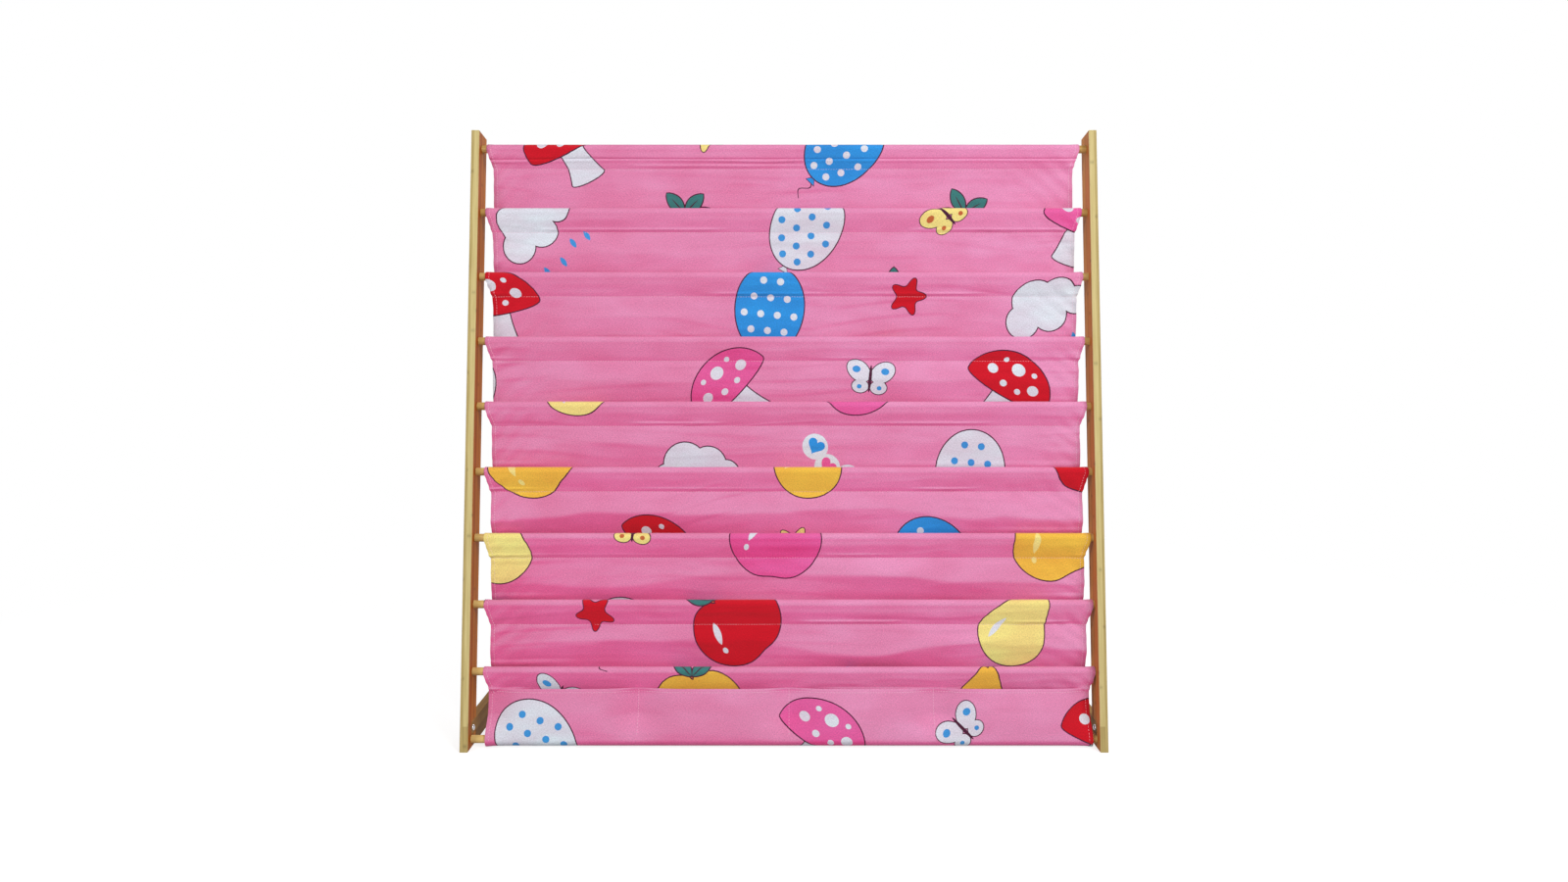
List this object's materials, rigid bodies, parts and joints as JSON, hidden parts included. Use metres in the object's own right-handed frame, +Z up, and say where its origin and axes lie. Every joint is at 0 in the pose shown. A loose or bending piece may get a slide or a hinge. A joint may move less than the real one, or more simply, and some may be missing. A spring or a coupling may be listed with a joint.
{
  "type": "sling bookshelf",
  "caption": "Leaning children's bookshelf: bamboo uprights on foot rails, cross rods and a long sewn cloth that hangs in slings, with a pocket along the bottom.",
  "frame": {"origin": "on the floor under the middle of the bounding box", "axes": "+X to the right seen from the front, +Y to the back, +Z up"},
  "size_m": [0.9674, 0.3, 0.9247],
  "materials": {
    "bamboo_board": "clear satin lacquer on laminated bamboo",
    "bamboo_rod": "clear satin lacquer on turned bamboo",
    "cloth": "printed woven cloth",
    "chrome": "polished",
    "screw": "zinc plated"
  },
  "bodies": {
    "root": {"left_upright": "bamboo_board", "right_upright": "bamboo_board", "left_foot_rail": "bamboo_board", "right_foot_rail": "bamboo_board", "rear_stretcher": "bamboo_board", "rod_1": "bamboo_rod", "rod_2": "bamboo_rod", "rod_3": "bamboo_rod", "rod_4": "bamboo_rod", "rod_5": "bamboo_rod", "rod_6": "bamboo_rod", "rod_7": "bamboo_rod", "rod_8": "bamboo_rod", "rod_9": "bamboo_rod", "rod_10": "bamboo_rod", "sling_1": "cloth", "sling_2": "cloth", "sling_3": "cloth", "sling_4": "cloth", "sling_5": "cloth", "sling_6": "cloth", "sling_7": "cloth", "sling_8": "cloth", "lower_panel": "cloth", "bottom_pocket": "cloth", "left_foot_bolt": "chrome", "right_foot_bolt": "chrome", "left_foot_nut": "chrome", "right_foot_nut": "chrome", "left_rod_screw_1": "screw", "left_rod_screw_4": "screw", "left_rod_screw_7": "screw", "left_rod_screw_10": "screw", "right_rod_screw_1": "screw", "right_rod_screw_4": "screw", "right_rod_screw_7": "screw", "right_rod_screw_10": "screw", "left_stretcher_screw_1": "screw", "left_stretcher_screw_2": "screw", "right_stretcher_screw_1": "screw", "right_stretcher_screw_2": "screw"}
  },
  "joints": []
}
